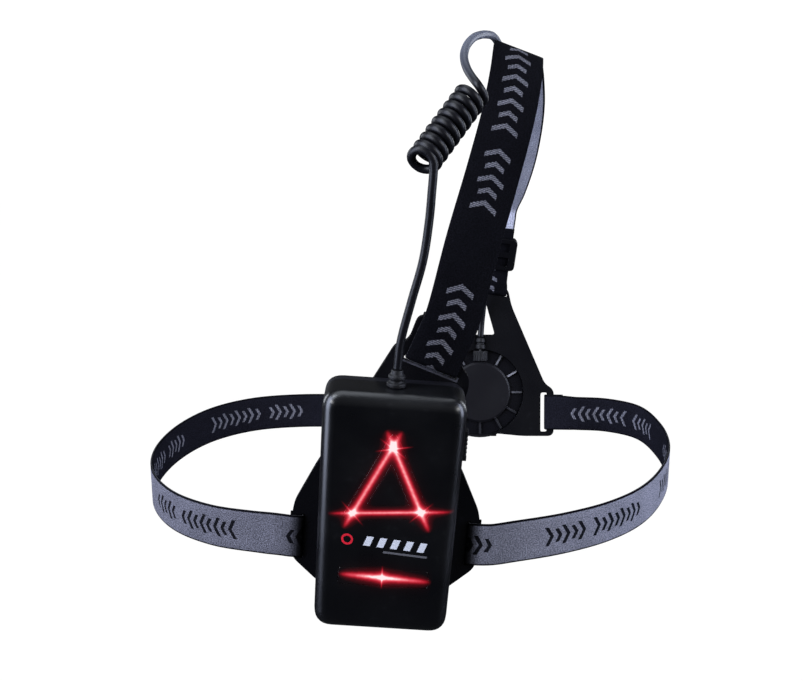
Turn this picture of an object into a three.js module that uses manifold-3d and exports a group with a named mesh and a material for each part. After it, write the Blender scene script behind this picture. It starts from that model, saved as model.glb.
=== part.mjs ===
// Running-light harness: a battery pack with red warning lights on the wearer's back, a lamp on the
// chest, two elastic chest straps, one shoulder strap and a curly cable over the shoulder.
// Millimetres, +Z up, +Y from the wearer's back to the chest, +X to the wearer's right.
// The origin is on the face of the back plate that rests on the wearer, level with the chest straps.
import * as THREE from "three";
import { mergeVertices } from "three/addons/utils/BufferGeometryUtils.js";
import Module from "manifold-3d";

const wasm = await Module();
wasm.setup();

// ---------------------------------------------------------------- driving dimensions
const GAP = 0.35;                       // clearance between touching pieces
const PLATE = 3;                        // thickness of both bracket plates
const DEG = Math.PI / 180;

const PACK = {
  roll: 4 * DEG,                        // the pack hangs turned this far about +Y
  top: 80.5, bottom: -34.4,
  halfTop: 32.2, halfBottom: 30.6,      // half widths: the case narrows downwards
  front: -29.5, seam: -9,               // y of the front face and of the joint of the two shells
  wall: 2.2, corner: 8.5, edge: 6,
};
const BACK = {
  lug: 44.3, slotIn: 38.45, slotOut: 40.2, slotLength: 22.8, slotStep: 0.8,
  topSlot: { x: 15.2, z: 86.9, tilt: -19 * DEG, length: 26, width: 2.5 },
};
const LAMP = {
  place: [56.9, 182, 11.8],
  lean: -14 * DEG,                      // the chest plate leans back with its top outwards
  disc: 18.6, channel: 26.4, collar: 28.4,
  can: 22, hingeZ: -25.5, hingeY: 11,
};
const CHEST = {
  lug: 45.6, slotIn: 37.4, slotOut: 41.6, slotZ: -12.4, slotLength: 24.6,
  topSlot: { x: 3.6, z: 61.9, tilt: -8 * DEG, length: 26, width: 1.75 },
};
const STRAP = { chest: 21.5, shoulder: 25, thick: 1.3 };
const CABLE = { radius: 1.9, coil: 7.6 };
const KEEPER = {
  place: [62.9, 201, 96.5], turn: 7 * DEG,
  length: 20, width: 31, inside: 26.2, depth: 7.2, wall: 1.6,
  lane: 0.95,                           // each layer of the strap lies this far from its middle
};

// ---------------------------------------------------------------- materials
const plastic = new THREE.MeshStandardMaterial({ color: 0x111216, roughness: 0.5, metalness: 0 });
const satin = new THREE.MeshStandardMaterial({ color: 0x1c1c22, roughness: 0.4, metalness: 0 });
const rubber = new THREE.MeshStandardMaterial({ color: 0x0d0d10, roughness: 0.7, metalness: 0 });
const webbing = new THREE.MeshStandardMaterial({ color: 0x6a6a7c, roughness: 0.9, metalness: 0 });
const blackWebbing = new THREE.MeshStandardMaterial({ color: 0x16161c, roughness: 0.9, metalness: 0 });
const redGuide = new THREE.MeshStandardMaterial({ color: 0xe01224, roughness: 0.3, metalness: 0 });
const diode = new THREE.MeshStandardMaterial({ color: 0xf6e8a8, roughness: 0.4, metalness: 0 });
const board = new THREE.MeshStandardMaterial({ color: 0x14503a, roughness: 0.6, metalness: 0 });
const cellWrap = new THREE.MeshStandardMaterial({ color: 0x2f6fb5, roughness: 0.4, metalness: 0 });
const steel = new THREE.MeshStandardMaterial({ color: 0xa8a8ac, roughness: 0.3, metalness: 1 });
const mirror = new THREE.MeshStandardMaterial({ color: 0xd8d8dc, roughness: 0.1, metalness: 1 });
const glass = new THREE.MeshStandardMaterial({ color: 0xdfe8ee, roughness: 0.05, metalness: 0 });

// ---------------------------------------------------------------- solids and booleans
function toSolid(geometry) {
  const bare = geometry.clone();
  bare.deleteAttribute("normal");
  bare.deleteAttribute("uv");
  const merged = mergeVertices(bare, 1e-4);
  const mesh = new wasm.Mesh({
    numProp: 3,
    vertProperties: new Float32Array(merged.attributes.position.array),
    triVerts: new Uint32Array(merged.index.array),
  });
  return new wasm.Manifold(mesh);
}

function toGeometry(solid) {
  const { vertProperties, triVerts } = solid.getMesh();
  const geometry = new THREE.BufferGeometry();
  geometry.setAttribute("position", new THREE.BufferAttribute(new Float32Array(vertProperties), 3));
  geometry.setIndex(new THREE.BufferAttribute(new Uint32Array(triVerts), 1));
  const flat = geometry.toNonIndexed();
  flat.computeVertexNormals();
  return flat;
}

function join(...geometries) {
  return toGeometry(geometries.map(toSolid).reduce((sum, next) => sum.add(next)));
}

function cut(base, ...tools) {
  return toGeometry(tools.map(toSolid).reduce((rest, tool) => rest.subtract(tool), toSolid(base)));
}

function common(base, other) {
  return toGeometry(toSolid(base).intersect(toSolid(other)));
}

// ---------------------------------------------------------------- shape helpers, drawn in x and z
const P = (x, z) => new THREE.Vector2(x, z);
const V = (x, y, z) => new THREE.Vector3(x, y, z);

// A closed outline through the corners, each rounded by its own radius.
function rounded(corners, radius) {
  const shape = new THREE.Shape();
  corners.forEach((corner, i) => {
    const before = corners.at(i - 1);
    const after = corners[(i + 1) % corners.length];
    const reach = Math.min(radius, corner.distanceTo(before) / 2.05, corner.distanceTo(after) / 2.05);
    const start = corner.clone().add(before.clone().sub(corner).setLength(reach));
    const end = corner.clone().add(after.clone().sub(corner).setLength(reach));
    if (i === 0) shape.moveTo(start.x, start.y);
    else shape.lineTo(start.x, start.y);
    shape.quadraticCurveTo(corner.x, corner.y, end.x, end.y);
  });
  shape.closePath();
  return shape;
}

function rectangle(width, height, x = 0, z = 0) {
  const [w, h] = [width / 2, height / 2];
  return [P(x - w, z - h), P(x + w, z - h), P(x + w, z + h), P(x - w, z + h)];
}

// The outline of a slot: a long box with round ends, turned by tilt.
function slotShape({ x, z, tilt = 0, length, width }) {
  const turn = (corner) => corner.rotateAround(P(0, 0), tilt).add(P(x, z));
  return rounded(rectangle(length, width).map(turn), width / 3);
}

// Extrudes an x, z outline from y0 to y1. An edge rounds the rim at y0 and y1.
function slab(shape, y0, y1, { edge = 0, curve = 3, edgeSteps = 2 } = {}) {
  const geometry = new THREE.ExtrudeGeometry(shape, {
    depth: y1 - y0 - 2 * edge,
    curveSegments: curve,
    bevelEnabled: edge > 0,
    bevelSize: edge,
    bevelThickness: edge,
    bevelOffset: -edge,
    bevelSegments: edgeSteps,
  });
  geometry.rotateX(Math.PI / 2);
  return geometry.translate(0, y1 - edge, 0);
}

function box(x0, x1, y0, y1, z0, z1) {
  const geometry = new THREE.BoxGeometry(x1 - x0, y1 - y0, z1 - z0);
  return geometry.translate((x0 + x1) / 2, (y0 + y1) / 2, (z0 + z1) / 2);
}

// A turned piece about +Y: pairs of radius and y, closed on the axis.
function turned(profile, sides = 24) {
  return new THREE.LatheGeometry(profile.map(([r, y]) => P(r, y)), sides);
}

function rod(radius, from, to, sides = 16) {
  const geometry = new THREE.CylinderGeometry(radius, radius, from.distanceTo(to), sides);
  const along = to.clone().sub(from).normalize();
  geometry.applyQuaternion(new THREE.Quaternion().setFromUnitVectors(V(0, 1, 0), along));
  const middle = from.clone().add(to).multiplyScalar(0.5);
  return geometry.translate(middle.x, middle.y, middle.z);
}

// Moves each corner of a triangle outwards, so that its sides move by distance.
function grown(corners, distance) {
  const centre = corners.reduce((sum, c) => sum.clone().add(c)).divideScalar(corners.length);
  return corners.map((corner, i) => {
    const before = corners.at(i - 1).clone().sub(corner).normalize();
    const after = corners[(i + 1) % corners.length].clone().sub(corner).normalize();
    const half = Math.acos(before.dot(after)) / 2;
    const outwards = before.add(after).normalize().negate();
    if (outwards.dot(corner.clone().sub(centre)) < 0) outwards.negate();
    return corner.clone().add(outwards.multiplyScalar(distance / Math.sin(half)));
  });
}

// ---------------------------------------------------------------- scene graph
const harness = new THREE.Group();

const pack = new THREE.Group();
pack.rotation.y = PACK.roll;
harness.add(pack);

const chest = new THREE.Group();
chest.position.set(...LAMP.place);
chest.rotation.x = LAMP.lean;
harness.add(chest);

const keeper = new THREE.Group();
keeper.position.set(...KEEPER.place);
keeper.rotation.y = KEEPER.turn;
harness.add(keeper);

function add(group, name, geometry, material) {
  const mesh = new THREE.Mesh(geometry, material);
  mesh.name = name;
  group.add(mesh);
}

// ---------------------------------------------------------------- battery pack
const packBack = -PLATE - GAP;

function packOutline(inset) {
  const [top, bottom] = [PACK.top - inset, PACK.bottom + inset];
  const [wide, narrow] = [PACK.halfTop - inset, PACK.halfBottom - inset];
  const corners = [P(-narrow, bottom), P(narrow, bottom), P(wide, top), P(-wide, top)];
  return rounded(corners, PACK.corner - inset / 2);
}

const TRIANGLE = [P(-15.7, 24.4), P(14.8, 26.8), P(0.4, 57.6)];
const LED_SPOTS = {
  led_apex: TRIANGLE[2], led_left: TRIANGLE[0], led_right: TRIANGLE[1], led_bar: P(-0.5, -6.4),
};
const BAR = { x: 0, z: -6.4, length: 41, width: 8.4 };
const GUIDE = { half: 3.4, depth: 1.4, thick: 1.25, gap: 0.12 };
const BUTTON = { y: -17, z: 56, length: 15, width: 6, travel: 1 };
const USB = { x: -12, y: -15, width: 12, height: 6 };

// The band along the three sides of the triangle, this far to each side of them.
function triangleRing(half) {
  const ring = rounded(grown(TRIANGLE, half), 5);
  ring.holes.push(rounded(grown(TRIANGLE, -half).reverse(), 1));
  return ring;
}

function barShape(gap) {
  return rounded(rectangle(BAR.length + 2 * gap, BAR.width + 2 * gap, BAR.x, BAR.z), 1.5);
}

function packFrontShell() {
  const { front, seam, wall, edge } = PACK;
  const outside = common(
    slab(packOutline(0), front, seam + edge, { edge, edgeSteps: 6, curve: 7 }),
    box(-50, 50, front - 1, seam, PACK.bottom - 1, PACK.top + 1),
  );
  const floor = front + GUIDE.depth;
  const ledHoles = Object.values(LED_SPOTS).map(({ x, y }) => (
    slab(new THREE.Shape(rectangle(5.2, 5.2, x, y)), front + 0.7, front + wall + 1)
  ));
  return cut(
    outside,
    slab(packOutline(wall), front + wall, seam + 1),
    slab(triangleRing(GUIDE.half + GUIDE.gap), front - 1, floor),
    slab(barShape(GUIDE.gap), front - 1, floor),
    ...ledHoles,
    glandHole(),
    box(PACK.halfBottom - 6, 40, BUTTON.y - BUTTON.width / 2, BUTTON.y + BUTTON.width / 2,
      BUTTON.z - BUTTON.length / 2, BUTTON.z + BUTTON.length / 2),
    box(USB.x - USB.width / 2, USB.x + USB.width / 2, USB.y - USB.height / 2, USB.y + USB.height / 2,
      PACK.bottom - 1, PACK.bottom + 5),
  );
}

function packBackShell() {
  const { seam, wall } = PACK;
  const outside = slab(packOutline(0), seam + GAP, packBack, { curve: 7 });
  const hollow = slab(packOutline(wall), seam - 1, packBack - wall);
  return cut(outside, hollow, ...SCREWS.map(({ x, y }) => screwHole(x, y)));
}

const SCREWS = [P(-20, -20), P(20, -20), P(-20, 58), P(20, 58)];
const SCREW = { head: 2.7, headDeep: 1.5, shank: 1.2, length: 6.4, sunk: 0.5 };

function screwHole(x, z) {
  const radius = SCREW.shank + GAP;
  return rod(radius, V(x, -12, z), V(x, 1, z), 12);
}

function screw(x, z) {
  const head = -SCREW.sunk;
  const neck = head - SCREW.headDeep;
  const body = turned([[0, head - SCREW.length], [SCREW.shank, head - SCREW.length],
    [SCREW.shank, neck], [SCREW.head, neck], [SCREW.head, head], [0, head]], 12);
  const slot = box(-SCREW.head - 1, SCREW.head + 1, head - 0.7, head + 1, -0.35, 0.35);
  return cut(body, slot).translate(x, 0, z);
}

function glandHole() {
  const [low, high] = [PACK.top - PACK.wall - 2, PACK.top + 3];
  return rod(3 + GAP, V(0, -15, low), V(0, -15, high), 16);
}

// The strain relief on the pack: a flange on the case and a ringed neck, open for the cable.
function packGland() {
  const profile = [[0, -5], [3, -5], [3, GAP], [4.4, GAP], [4.4, 1.9], [3.2, 2.7], [3.2, 3.6],
    [3.9, 4.1], [3.9, 5.3], [2.9, 6.2], [2.6, 8], [0, 8]];
  return turned(profile, 28).rotateX(Math.PI / 2).translate(0, -15, PACK.top);
}

function triangleGuide() {
  const front = PACK.front + 0.05;
  return slab(triangleRing(GUIDE.half), front, front + GUIDE.thick);
}

function barGuide() {
  const front = PACK.front + 0.05;
  return slab(barShape(0), front, front + GUIDE.thick);
}

function warningLed({ x, y: z }) {
  const [lens, base] = [PACK.front + 1.6, -26.3];
  return join(
    slab(new THREE.Shape(rectangle(4.4, 4.4, x, z)), -26.9, base),
    turned([[0, 0], [1.9, 0], [1.9, 1], [0, 1]], 12).translate(x, lens, z),
  );
}

function ledBoard() {
  return slab(rounded(rectangle(44, 74, 0, 26), 2), -26, -25);
}

function chargeBoard() {
  return join(
    box(6, 24, -10, -8.8, -27, 44),
    box(9, 15, -13, -9.5, 30, 36),
    box(9, 21, -12.5, -9.5, -8, 8),
  );
}

function usbSocket() {
  const outer = box(USB.x - 4.5, USB.x + 4.5, USB.y - 1.6, USB.y + 1.6, PACK.bottom + 1.6, PACK.bottom + 9);
  const mouth = box(USB.x - 4, USB.x + 4, USB.y - 1.1, USB.y + 1.1, PACK.bottom, PACK.bottom + 7.5);
  const tongue = box(USB.x - 3, USB.x + 3, USB.y - 0.35, USB.y + 0.35, PACK.bottom + 3, PACK.bottom + 8);
  return join(cut(outer, mouth), tongue);
}

// The rubber flap under the pack turns about a pin line along X at its rear edge.
const FLAP = { y: USB.y + 5.2, z: PACK.bottom - 1.6 };

function usbFlap() {
  const lid = slab(rounded(rectangle(USB.width + 5, 10.6, 0, 0), 2), -0.8, 0.8);
  lid.rotateX(Math.PI / 2).translate(USB.x, USB.y - 0.9, PACK.bottom - GAP - 0.8);
  const half = USB.width / 2;
  const knuckle = rod(1.1, V(USB.x - half, FLAP.y, FLAP.z), V(USB.x + half, FLAP.y, FLAP.z), 12);
  const plug = box(USB.x - 3.4, USB.x + 3.4, USB.y - 2.4, USB.y + 1.9, PACK.bottom - 1, PACK.bottom + 1.2);
  return join(lid, knuckle, plug);
}

const CELL = { x: -13, y: -15.6, radius: 9.1, low: -13, high: 52 };

function batteryCell() {
  const { x, y, radius, low, high } = CELL;
  const can = rod(radius, V(x, y, low), V(x, y, high), 24);
  const terminal = rod(2.8, V(x, y, high - 1), V(x, y, high + 1.2), 16);
  return join(can, terminal);
}

// A carrier holds the cell between two rails, on an end stop, with a round-backed cradle at each end.
function cellCradle() {
  const { x, y, low } = CELL;
  const side = CELL.radius + GAP;
  const rail = (from) => box(from, from + 1.6, y - 5, y + 8, low - 3, low + 58);
  const cradle = (z) => box(x - side - 1, x + side + 1, y - 5, y + 8, z, z + 6);
  const stop = box(x - side - 1, x + side + 1, y - 5, y + 8, low - 3, low - GAP);
  const clearance = rod(side, V(x, y, low - GAP), V(x, y, CELL.high + 10), 24);
  const frame = join(rail(x - side - 1), rail(x + side - 0.6), stop, cradle(low + 6), cradle(low + 48));
  return cut(frame, clearance);
}

// The rubber push button in the right side of the case.
function packButton() {
  const half = (size) => size / 2 - GAP;
  const [y, z] = [half(BUTTON.width), half(BUTTON.length)];
  const cap = box(PACK.halfBottom - 3.2, PACK.halfTop + 1.6,
    BUTTON.y - y, BUTTON.y + y, BUTTON.z - z, BUTTON.z + z);
  const grooves = [-4, -2, 0, 2, 4].map((step) => (
    box(PACK.halfTop + 1, PACK.halfTop + 2, BUTTON.y - y - 1, BUTTON.y + y + 1,
      BUTTON.z + step - 0.5, BUTTON.z + step + 0.5)
  ));
  return cut(cap, ...grooves);
}

// ---------------------------------------------------------------- back plate
function backPlate() {
  const { lug, topSlot } = BACK;
  const outline = rounded([
    P(-29.5, -25), P(29.5, -25), P(lug, -11.5), P(lug, 15), P(33.5, 38), P(28.5, 46), P(28.5, 68),
    P(33.3, 75), P(33.3, 83.5), P(29.4, 87.5), P(29.4, 104.5), P(8.2, 111.8), P(5, 101),
    P(3, 98.4), P(-1.6, 96.6), P(-13.5, 74), P(-27, 60), P(-28.5, 46), P(-33.5, 38), P(-lug, 15),
    P(-lug, -11.5),
  ], 4.5);
  const sideSlot = (side) => slab(slotShape({
    x: side * (BACK.slotIn + BACK.slotOut) / 2, z: side * BACK.slotStep, tilt: Math.PI / 2,
    length: BACK.slotLength, width: BACK.slotOut - BACK.slotIn,
  }), -PLATE - 1, 1);
  const headSinks = SCREWS.map(({ x, y }) => (
    rod(SCREW.head + GAP, V(x, -SCREW.sunk - SCREW.headDeep - GAP, y), V(x, 1, y), 16)
  ));
  return cut(
    slab(outline, -PLATE, 0, { curve: 6 }),
    sideSlot(-1), sideSlot(1),
    slab(slotShape(topSlot), -PLATE - 1, 1),
    ...headSinks,
    ...SCREWS.map(({ x, y }) => screwHole(x, y)),
  );
}

// ---------------------------------------------------------------- chest plate and lamp
function chestPlate() {
  const { lug, topSlot } = CHEST;
  const rightSide = [
    P(10, -25.6), P(26, -27.2), P(lug, -27.2), P(lug, 1.8), P(40, 5.4), P(19.3, 53.4), P(16.8, 65),
  ];
  const leftSide = [P(-10, 68.6), P(-13, 60), P(-19.3, 53.4), P(-40, 5.4), P(-lug, 1.8), P(-lug, -27.2),
    P(-26, -27.2), P(-10, -25.6)];
  const frame = slab(rounded([...rightSide, ...leftSide], 4), 0, PLATE, { curve: 6 });
  const opening = rounded([P(-9, 35.8), P(9, 35.8), P(3.6, 55), P(-1.8, 55)], 1.6);
  const sideSlot = (side) => slab(slotShape({
    x: side * (CHEST.slotIn + CHEST.slotOut) / 2, z: CHEST.slotZ, tilt: Math.PI / 2,
    length: CHEST.slotLength, width: CHEST.slotOut - CHEST.slotIn,
  }), -1, PLATE + 1);
  return cut(
    frame,
    slab(opening, -1, PLATE + 1),
    rod(LAMP.channel + GAP, V(0, -1, 0), V(0, PLATE + 1, 0), 64),
    box(-3.3, 3.3, -1, 2.1, 24, 38),
    sideSlot(-1), sideSlot(1),
    slab(slotShape(topSlot), -1, PLATE + 1),
  );
}

// The lamp's fixed base: a domed disc in a ribbed channel, a collar, and the two ears of the hinge.
function lampBase() {
  const { disc, channel, collar } = LAMP;
  const back = 7;
  const body = turned([[0, 0.4], [disc - 1, 0.5], [disc, 1.2], [disc, 2.5], [channel, 2.5],
    [channel, PLATE + GAP], [collar, PLATE + GAP], [collar, back], [0, back]], 64);
  const ribs = Array.from({ length: 12 }, (_, i) => i).filter((i) => i !== 3).map((i) => (
    box(disc - 0.5, channel - 0.5, 1, 3, -0.7, 0.7).rotateY(-i * Math.PI / 6)
  ));
  const ear = (x) => cut(
    join(
      rod(3, V(x - 1.5, LAMP.hingeY, LAMP.hingeZ), V(x + 1.5, LAMP.hingeY, LAMP.hingeZ)),
      box(x - 1.5, x + 1.5, back - 1, LAMP.hingeY, LAMP.hingeZ - 2.4, LAMP.hingeZ + 3),
    ),
    rod(1.9, V(x - 3, LAMP.hingeY, LAMP.hingeZ), V(x + 3, LAMP.hingeY, LAMP.hingeZ)),
  );
  return join(body, ...ribs, ear(-9), ear(9));
}

// The ridged clamp that holds the cable's end in the ring's channel.
function cableClamp() {
  const block = box(-4.2, 4.2, -0.2, 2.5 - GAP, LAMP.disc + 0.8, LAMP.channel - 0.6);
  const grooves = [-3, -1.5, 0, 1.5, 3].map((x) => box(x - 0.35, x + 0.35, -1, 0.3, 15, 30));
  return cut(block, ...grooves);
}

function lampGland() {
  const profile = [[0, 0], [2.9, 0], [2.9, 2.4], [2.2, 2.9], [2.2, 3.6], [2.8, 4.1], [2.8, 5.2],
    [2.3, 6.6], [0, 6.6]];
  return turned(profile, 28).rotateX(Math.PI / 2).translate(0, -1.2, 27.2);
}

const HEAD = { back: 7.6, front: 29, wall: 1.8 };

function lampHousing() {
  const { can, hingeY, hingeZ } = LAMP;
  const { back, front, wall } = HEAD;
  const outer = turned([[0, back], [can - 1.2, back], [can, back + 1.2], [can, front], [can - wall, front],
    [can - wall, back + 8], [0, back + 8]], 64);
  const knuckle = join(
    rod(2.9, V(-6.9, hingeY, hingeZ), V(6.9, hingeY, hingeZ)),
    box(-6.9, 6.9, back + 0.6, back + 6, hingeZ, -can + 3),
  );
  const fins = [-3, -2, -1, 0, 1, 2, 3].map((i) => (
    box(can - 0.4, can + 1.4, back + 2, front - 5, -0.8, 0.8).rotateY(i * 9 * DEG)
  ));
  const otherFins = fins.map((fin) => fin.clone().rotateY(Math.PI));
  const pinHole = rod(1.9, V(-8, hingeY, hingeZ), V(8, hingeY, hingeZ));
  const buttonWell = box(-5 - GAP, 5 + GAP, 16.5 - GAP, 22.5 + GAP, can - 5, can + 3);
  return cut(join(outer, knuckle, ...fins, ...otherFins), pinHole, buttonWell);
}

function hingePin() {
  const { hingeY, hingeZ } = LAMP;
  return rod(1.5, V(-11.2, hingeY, hingeZ), V(11.2, hingeY, hingeZ), 12);
}

function lampBezel() {
  const { can } = LAMP;
  const front = HEAD.front + GAP;
  const crown = Array.from({ length: 12 }, (_, i) => (
    box(can - 0.6, can + 1.2, front + 0.6, front + 4.4, -1.6, 1.6).rotateY(i * Math.PI / 6)
  ));
  const ring = turned([[can - 4.4, front], [can, front], [can + 0.6, front + 0.8], [can + 0.6, front + 4],
    [can - 0.6, front + 5], [can - 3, front + 5], [can - 4.4, front + 3.2], [can - 4.4, front]], 64);
  return join(ring, ...crown);
}

function lampLens() {
  const [radius, y] = [LAMP.can - HEAD.wall - GAP, HEAD.front - 2.2];
  return turned([[0, y], [radius, y], [radius, y + 1.6], [radius - 2.8, y + 1.9], [0, y + 2.2]], 64);
}

function lampReflector() {
  const deep = HEAD.back + 8 + GAP;
  const rim = HEAD.front - 2.2 - GAP;
  const radius = LAMP.can - HEAD.wall - GAP;
  const outer = [[5, deep], [6, deep], [8, deep + 1.2], [12.5, deep + 5], [radius, rim - 1], [radius, rim]];
  const inner = [[radius - 1.4, rim], [11.5, deep + 6.5], [7.5, deep + 3], [5, deep + 0.8]];
  return turned([...outer, ...inner, outer[0]], 64);
}

function lampLed() {
  const y = HEAD.back + 8 + GAP;
  return join(
    turned([[0, y], [4.4, y], [4.4, y + 0.8], [0, y + 0.8]], 24),
    turned([[0, y + 0.5], [2.4, y + 0.5], [2.2, y + 1.6], [1.2, y + 2.4], [0, y + 2.6]], 16),
  );
}

function lampButton() {
  const top = LAMP.can + 1.9;
  return slab(rounded(rectangle(10, 6, 0, 19.5), 1.5), -top, -top + 4.6).rotateX(-Math.PI / 2);
}

// ---------------------------------------------------------------- straps
// A flat band along a curve: each key gives the centre and the direction across the band there.
function ribbon(keys, width, steps) {
  const curve = new THREE.CatmullRomCurve3(keys.map(({ at }) => at), false, "centripetal");
  const spans = keys.length - 1;
  const positions = [];
  for (let i = 0; i <= steps; i += 1) {
    const t = i / steps;
    const key = Math.min(Math.floor(t * spans), spans - 1);
    const across = keys[key].across.clone().lerp(keys[key + 1].across, t * spans - key);
    const along = curve.getTangent(t);
    across.addScaledVector(along, -across.dot(along)).setLength(width / 2);
    const out = along.clone().cross(across).setLength(STRAP.thick / 2);
    const centre = curve.getPoint(t);
    for (const [a, b] of [[-1, -1], [1, -1], [1, 1], [-1, 1]]) {
      positions.push(...centre.clone().addScaledVector(across, a).addScaledVector(out, b).toArray());
    }
  }
  const faces = [0, 2, 1, 0, 3, 2];
  for (let i = 0; i < steps; i += 1) {
    for (let j = 0; j < 4; j += 1) {
      const [a, b] = [4 * i + j, 4 * i + (j + 1) % 4];
      faces.push(a, b, b + 4, a, b + 4, a + 4);
    }
  }
  const last = 4 * steps;
  faces.push(last, last + 1, last + 2, last, last + 2, last + 3);
  const geometry = new THREE.BufferGeometry();
  geometry.setAttribute("position", new THREE.Float32BufferAttribute(positions, 3));
  geometry.setIndex(faces);
  geometry.computeVertexNormals();
  return geometry;
}

const UP = V(0, 0, 1);

function inGroup(group, x, y, z) {
  group.updateMatrixWorld(true);
  return V(x, y, z).applyMatrix4(group.matrixWorld);
}

function directionInGroup(group, x, y, z) {
  return inGroup(group, x, y, z).sub(inGroup(group, 0, 0, 0));
}

// A strap wraps a bar this far from its faces. The bar's near edge is at edge, measured away from the
// slot, and its faces are at y0 and y1: the wrap comes in along y1 and leaves along y0.
const OVER = STRAP.thick / 2 + GAP;

function wrap(edge, y0, y1) {
  const outwards = Math.sign(y1 - y0);
  const corner = (y, out) => [edge - OVER * Math.SQRT1_2, y + out * OVER * Math.SQRT1_2];
  return [
    [edge + 1.5, y1 + outwards * OVER], [edge, y1 + outwards * OVER], corner(y1, outwards),
    [edge - OVER, y1], [edge - OVER, y0], corner(y0, -outwards),
    [edge, y0 - outwards * OVER], [edge + 1.5, y0 - outwards * OVER],
  ];
}

function chestStrap(side, loop) {
  const packAcross = directionInGroup(pack, 0, 0, 1);
  const packEnd = [
    [47, 1.2], [BACK.lug, OVER], ...wrap(BACK.slotOut, -PLATE, 0),
    [BACK.lug, -PLATE - OVER], [51, -3],
  ].map(([x, y]) => ({ at: inGroup(pack, side * x, y, side * BACK.slotStep), across: packAcross }));
  const chestAcross = directionInGroup(chest, 0, 0, 1);
  const chestEnd = [
    [CHEST.lug + 1, -OVER - 0.1], ...wrap(CHEST.slotOut, PLATE, 0),
    [CHEST.lug + 1, PLATE + OVER], [CHEST.lug + 6, PLATE + OVER - 1],
  ].map(([x, y]) => ({ at: inGroup(chest, side * x, y, CHEST.slotZ), across: chestAcross }));
  const middle = loop.map(([x, y, z = 0]) => ({ at: V(x, y, z), across: UP }));
  const keys = [...packEnd, ...middle, ...chestEnd];
  return ribbon(keys, STRAP.chest, 3 * (keys.length - 1));
}

const LEFT_LOOP = [
  [-62, 1.5, 1.9], [-84, 11.5, 0.7], [-106, 30], [-121, 56], [-126.5, 88], [-120.5, 127],
  [-105, 157], [-83, 174.5], [-56, 181.3], [-20, 181], [3, 178.6],
];
const RIGHT_LOOP = [
  [62, -1.2, -1.9], [85, 4.8, -0.7], [109, 17], [129, 36], [145, 63], [155.5, 95],
  [157.5, 130], [150.5, 161], [134, 173.2], [115, 176.2],
];

const SHOULDER_ARCH = [
  [V(40.3, 4, 143), V(0.92, 0, -0.39)],
  [V(50, 21, 172), V(0.92, -0.03, -0.39)],
  [V(57.5, 36, 196), V(0.92, -0.06, -0.38)],
  [V(61.5, 48, 212.5), V(0.92, -0.1, -0.37)],
  [V(64, 64, 223), V(0.93, -0.12, -0.35)],
  [V(66, 84, 219), V(0.94, -0.12, -0.32)],
  [V(69, 103, 209), V(0.95, -0.1, -0.28)],
  [V(72, 124, 194), V(0.96, -0.1, -0.25)],
  [V(73.4, 147, 177), V(0.97, -0.1, -0.22)],
  [V(72.7, 169, 157), V(0.98, -0.08, -0.2)],
  [V(69.4, 188, 137), V(0.98, -0.06, -0.17)],
];

function shoulderStrap() {
  const onPlate = (group, slot) => {
    const [sin, cos] = [Math.sin(slot.tilt), Math.cos(slot.tilt)];
    const across = directionInGroup(group, cos, 0, sin);
    return ([rise, y]) => ({ at: inGroup(group, slot.x - rise * sin, y, slot.z + rise * cos), across });
  };
  const packEnd = [
    [22, OVER], [12, OVER], ...wrap(BACK.topSlot.width / 2, -PLATE, 0),
    [12, -PLATE - OVER], [24, -PLATE - OVER],
  ].map(onPlate(pack, BACK.topSlot));
  const chestEnd = wrap(CHEST.topSlot.width / 2, 0, PLATE).map(onPlate(chest, CHEST.topSlot));
  const keeperAcross = directionInGroup(keeper, 1, 0, 0);
  const onKeeper = ([z, y]) => ({ at: inGroup(keeper, 0, y, z), across: keeperAcross });
  const { lane } = KEEPER;
  const down = [[27, lane], [20.5, lane], [10, lane], [0, lane], [-11, lane], [-17, lane + 1]].map(onKeeper);
  const up = [[-18, -lane - 2.4], [-11, -lane], [0, -lane], [16, -lane]].map(onKeeper);
  const arch = SHOULDER_ARCH.map(([at, across]) => ({ at, across }));
  const keys = [...packEnd, ...arch, ...down, ...chestEnd, ...up];
  return ribbon(keys, STRAP.shoulder, 3 * (keys.length - 1));
}

// The slider that holds the shoulder strap's tail: a flat sleeve with a bar across both faces.
function strapKeeper() {
  const { length, width, inside, depth, wall } = KEEPER;
  const [h, d] = [length / 2, depth / 2];
  const body = slab(rounded(rectangle(width, length), 3), -d, d, { edge: 0.8 });
  const channel = box(-inside / 2, inside / 2, -d + wall, d - wall, -h - 1, h + 1);
  const windows = [-1, 1].map((side) => slab(
    rounded(rectangle(inside - 4, 5.4, 0, side * 4.4), 1), -d - 1, d + 1,
  ));
  return cut(body, channel, ...windows);
}

// ---------------------------------------------------------------- cable
const COIL_FROM = V(16.3, -16, 179.8);
const COIL_TO = V(39.6, 8, 206.7);
const LOWER_ROUTE = [
  V(6.2, -15, 88.9), V(7.6, -15.4, 101), V(12.4, -16, 120), V(17.3, -16, 138), V(19.8, -16, 155),
  V(20.6, -16.6, 169.5),
];
const UPPER_ROUTE = [
  V(39.2, 9, 213.4), V(36.8, 16, 217.5), V(35.9, 25, 222), V(37.5, 35, 226.4), V(41.1, 44, 229.7),
  V(45.1, 52, 230.8), V(48.8, 61, 230.6), V(52, 72, 229.6), V(55, 84, 226.8), V(57.8, 97, 221.8),
  V(57, 114, 209), V(55, 136, 187), V(54, 160, 155), V(55, 178, 118), V(57, 186, 90),
  V(58.4, 189.6, 70), V(57.4, 190.6, 54), V(56.9, 189.2, 45.9),
];

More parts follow.
